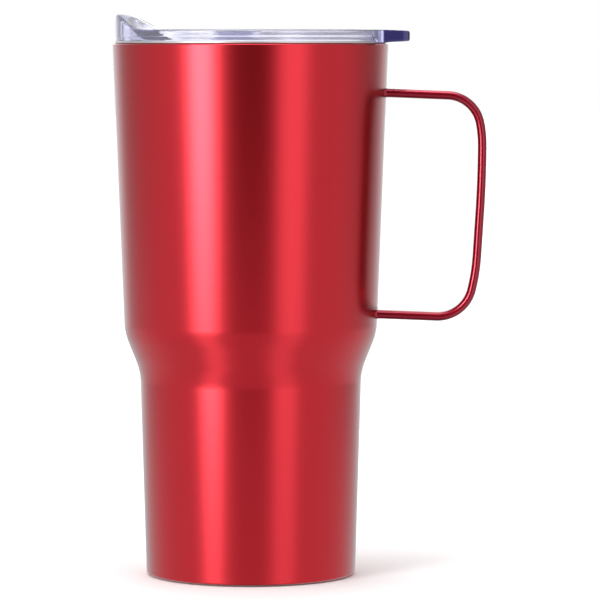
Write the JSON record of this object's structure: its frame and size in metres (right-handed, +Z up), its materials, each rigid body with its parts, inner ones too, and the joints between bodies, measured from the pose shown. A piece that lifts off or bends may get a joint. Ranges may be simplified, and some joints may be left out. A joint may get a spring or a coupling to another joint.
{
  "type": "insulated travel mug",
  "caption": "Stepped double-wall steel travel mug with a red satin coat, a welded strap handle and a clear push-on lid with a raised mouthpiece and thumb slide.",
  "frame": {"origin": "centre of the base pad's underside, on the mug's axis at the level it stands on", "axes": "+Z up along the mug's axis; +X from the axis towards the handle; the lid's mouthpiece is at -X at rest"},
  "size_m": [0.1206, 0.089, 0.1819],
  "materials": {
    "red_coat": "satin metallic coat over brushed steel",
    "liner_steel": "brushed inside, polished lip",
    "bare_steel": "mill",
    "clear_plastic": "clear, faint violet tint",
    "slide_plastic": "translucent violet",
    "silicone": "translucent silicone",
    "pad": "matt",
    "tape": "adhesive film",
    "copper": "bright copper foil",
    "solder": "dull",
    "getter_metal": "sintered"
  },
  "bodies": {
    "mug": {"base_pad": "pad", "pad_tape": "tape", "outer_base": "bare_steel", "seal_bead": "solder", "getter_clip": "bare_steel", "getter": "getter_metal", "foil_base": "copper", "liner_floor": "liner_steel", "foil_wrap": "copper", "inner_liner": "liner_steel", "outer_shell": "red_coat", "handle": "red_coat"},
    "lid_seal": {"lid_gasket": "silicone"},
    "lid": {"lid_body": "clear_plastic"},
    "slider": {"slider_knob": "slide_plastic", "slider_gate": "clear_plastic", "gate_seal": "silicone"}
  },
  "joints": [
    {"name": "lid_lift", "type": "slide", "parent": "mug", "child": "lid_seal", "axis": [0, 0, 1], "range_m": [0, 0.06]},
    {"name": "lid_turn", "type": "hinge", "parent": "lid_seal", "child": "lid", "pos_m": [0, 0, 0.1731], "axis": [0, 0, 1], "continuous": true},
    {"name": "slider_slide", "type": "slide", "parent": "lid", "child": "slider", "axis": [1, 0, 0], "range_m": [0, 0.012]}
  ]
}
